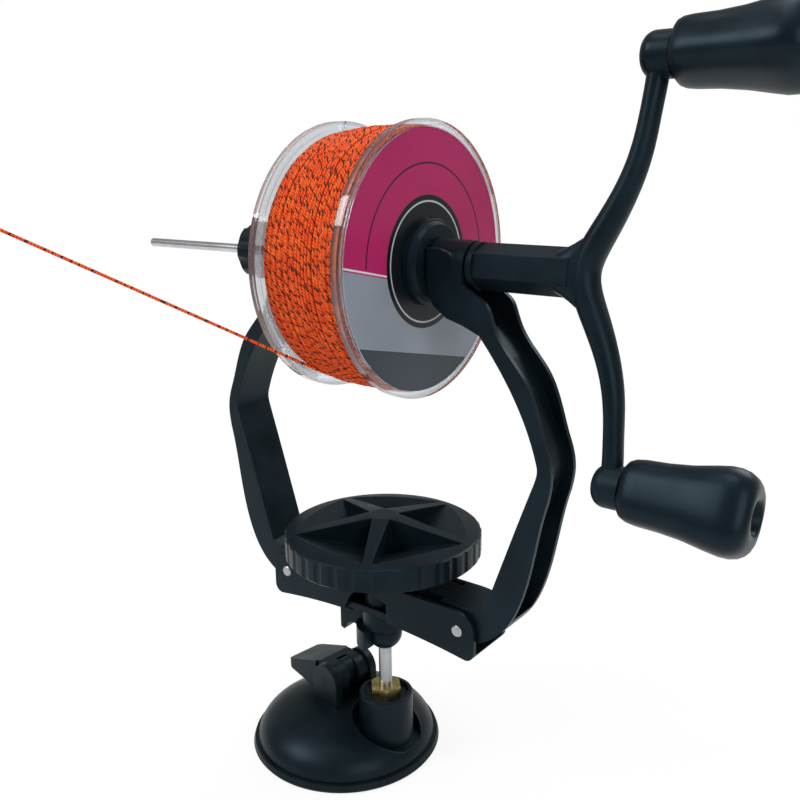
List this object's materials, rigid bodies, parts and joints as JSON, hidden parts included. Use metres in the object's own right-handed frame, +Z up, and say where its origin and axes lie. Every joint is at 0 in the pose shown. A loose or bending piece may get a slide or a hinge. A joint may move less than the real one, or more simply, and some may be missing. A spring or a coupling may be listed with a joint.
{
  "type": "fishing line winder",
  "caption": "Table-top fishing line winder: a hand-cranked spindle between two pivoting arms holds a spool, on a ball-jointed bracket above a lever suction cup.",
  "frame": {"origin": "middle of the suction cup's sole, at the level of its lip", "axes": "+Z up, +X along the spool's spindle towards the crank, +Y away from the side the line leaves on"},
  "size_m": [0.3059, 0.2002, 0.3202],
  "materials": {
    "black_rubber": "satin",
    "black_plastic": "satin",
    "bright_steel": "polished",
    "brass_nut": "satin",
    "clear_plastic": "clear",
    "printed_label": "gloss",
    "fishing_line": "satin"
  },
  "bodies": {
    "base": {"suction_cup": "black_rubber", "dome_housing": "black_plastic", "lever_pin": "bright_steel", "barrel_insert": "bright_steel", "lock_nut": "brass_nut"},
    "stem": {"cup_stem": "black_plastic"},
    "lever": {"cam_lever": "black_plastic"},
    "post": {"stud": "bright_steel", "ball_nut": "black_plastic"},
    "bracket": {"bracket": "black_plastic", "ball_claw": "black_plastic", "clamp_bolt": "bright_steel", "pivot_pin_left": "bright_steel", "pivot_pin_right": "bright_steel"},
    "knob_lift": {"thrust_washer": "bright_steel"},
    "knob": {"width_knob": "black_plastic", "knob_insert": "bright_steel"},
    "right_arm": {"arm_right": "black_plastic"},
    "left_arm": {"arm_left": "black_plastic"},
    "carriage": {"bush_right": "black_plastic", "free_line": "fishing_line", "line_loop": "fishing_line"},
    "spindle": {"axle_rod": "bright_steel", "drive_cone": "black_plastic", "crank": "black_plastic", "crank_collar": "black_plastic", "handle_spindle_top": "bright_steel", "handle_spindle_bottom": "bright_steel", "spool": "clear_plastic", "side_label": "printed_label", "winding_core": "fishing_line", "winding_turns": "fishing_line"},
    "left_clamp": {"idle_cone": "black_plastic", "bush_left": "black_plastic", "nut_washer": "black_plastic", "lobed_nut": "black_plastic"},
    "top_handle": {"handle_top": "black_plastic"},
    "bottom_handle": {"handle_bottom": "black_plastic"}
  },
  "joints": [
    {"name": "lever_open", "type": "hinge", "parent": "base", "child": "lever", "pos_m": [0, 0, 0.034], "axis": [0.1426, 0.9898, 0], "range_deg": [0, 80]},
    {"name": "stem_drop", "type": "slide", "parent": "base", "child": "stem", "axis": [0, 0, -1], "range_m": [0, 0.002]},
    {"name": "post_pan", "type": "hinge", "parent": "base", "child": "post", "pos_m": [0.025, 0, 0.064], "axis": [0, 0, 1], "range_deg": [-180, 180]},
    {"name": "bracket_tilt", "type": "hinge", "parent": "post", "child": "bracket", "pos_m": [0.025, 0, 0.064], "axis": [1, 0, 0], "range_deg": [-20, 20]},
    {"name": "knob_raise", "type": "slide", "parent": "bracket", "child": "knob_lift", "axis": [0, 0, 1], "range_m": [0, 0.0025]},
    {"name": "knob_turn", "type": "hinge", "parent": "knob_lift", "child": "knob", "pos_m": [0.025, 0, 0.104], "axis": [0, 0, 1], "range_deg": [0, 720]},
    {"name": "arm_right_swing", "type": "hinge", "parent": "bracket", "child": "right_arm", "pos_m": [0.073, 0, 0.0851], "axis": [0, 1, 0], "range_deg": [0, 4]},
    {"name": "arm_left_swing", "type": "hinge", "parent": "bracket", "child": "left_arm", "pos_m": [-0.023, 0, 0.0851], "axis": [0, -1, 0], "range_deg": [0, 4]},
    {"name": "carriage_slide", "type": "slide", "parent": "bracket", "child": "carriage", "axis": [1, 0, 0], "range_m": [0, 0.01034]},
    {"name": "spindle_turn", "type": "hinge", "parent": "carriage", "child": "spindle", "pos_m": [0.025, 0, 0.233], "axis": [1, 0, 0], "continuous": true},
    {"name": "clamp_slide", "type": "slide", "parent": "spindle", "child": "left_clamp", "axis": [-1, 0, 0], "range_m": [0, 0.02068]},
    {"name": "handle_top_spin", "type": "hinge", "parent": "spindle", "child": "top_handle", "pos_m": [0.165, 0.01125, 0.30483], "axis": [1, 0, 0], "continuous": true},
    {"name": "handle_bottom_spin", "type": "hinge", "parent": "spindle", "child": "bottom_handle", "pos_m": [0.165, -0.01125, 0.16118], "axis": [1, 0, 0], "continuous": true}
  ],
  "couplings": [
    {"joint": "stem_drop", "follows": "lever_open", "m_per_rad": 0.0014324},
    {"joint": "knob_raise", "follows": "knob_turn", "m_per_rad": 0.00019894},
    {"joint": "arm_right_swing", "follows": "knob_turn", "ratio": 0.0055555},
    {"joint": "arm_left_swing", "follows": "knob_turn", "ratio": 0.0055555},
    {"joint": "carriage_slide", "follows": "knob_turn", "m_per_rad": 0.00082282},
    {"joint": "clamp_slide", "follows": "knob_turn", "m_per_rad": 0.0016456}
  ]
}
